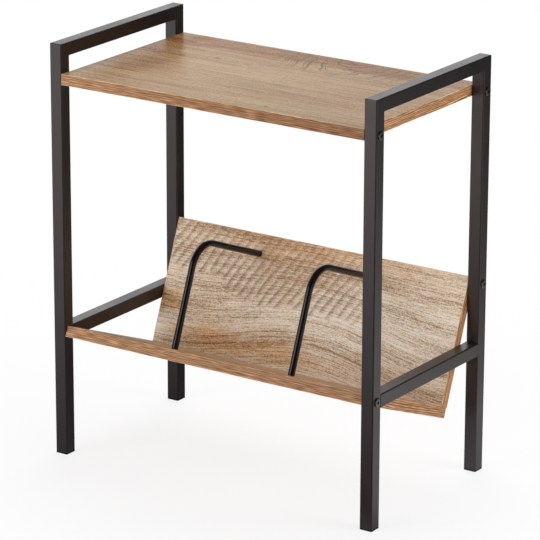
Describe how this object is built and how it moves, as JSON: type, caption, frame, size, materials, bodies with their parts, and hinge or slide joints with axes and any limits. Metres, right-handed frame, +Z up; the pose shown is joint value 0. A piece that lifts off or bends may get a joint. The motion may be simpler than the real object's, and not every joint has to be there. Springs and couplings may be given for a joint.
{
  "type": "magazine table with rack",
  "caption": "Side table with black square-tube frames, an oak-effect top board and a tilted two-board magazine rack with bent rod dividers.",
  "frame": {"origin": "on the floor, in the middle of the four feet", "axes": "+X to the right seen from the front, +Y to the rear, +Z up"},
  "size_m": [0.556, 0.3, 0.62],
  "materials": {
    "powder_coat": "satin black powder coat on steel tube",
    "rod_black": "semi-gloss black paint on steel rod",
    "oak_face": "matt oak-effect facing on chipboard",
    "oak_edge": "oak-effect edge band",
    "foot_plastic": "moulded black plastic",
    "bolt_black": "black bolt head",
    "zinc_steel": "zinc plated",
    "beech": "fluted beech dowel"
  },
  "bodies": {
    "root": {"divider_back_screws": "zinc_steel", "divider_base_screws": "zinc_steel", "left_divider_rod": "rod_black", "left_front_foot_cap": "foot_plastic", "left_front_leg": "powder_coat", "left_lower_crossbar": "powder_coat", "left_rear_foot_cap": "foot_plastic", "left_rear_leg": "powder_coat", "left_top_rail": "powder_coat", "rack_back_board": "oak_face", "rack_back_board_left_band": "oak_edge", "rack_back_board_right_band": "oak_edge", "rack_back_board_upper_band": "oak_edge", "rack_bottom_board": "oak_face", "rack_bottom_board_front_band": "oak_edge", "rack_bottom_board_left_band": "oak_edge", "rack_bottom_board_rear_band": "oak_edge", "rack_bottom_board_right_band": "oak_edge", "rack_corner_dowels": "beech", "rack_corner_screws": "zinc_steel", "rack_front_bolts": "bolt_black", "rack_front_inserts": "zinc_steel", "rack_rear_bolts": "bolt_black", "rack_rear_inserts": "zinc_steel", "right_divider_rod": "rod_black", "right_front_foot_cap": "foot_plastic", "right_front_leg": "powder_coat", "right_lower_crossbar": "powder_coat", "right_rear_foot_cap": "foot_plastic", "right_rear_leg": "powder_coat", "right_top_rail": "powder_coat", "top_board": "oak_face", "top_board_bolts": "bolt_black", "top_board_front_band": "oak_edge", "top_board_inserts": "zinc_steel", "top_board_left_band": "oak_edge", "top_board_rear_band": "oak_edge", "top_board_right_band": "oak_edge"}
  },
  "joints": []
}
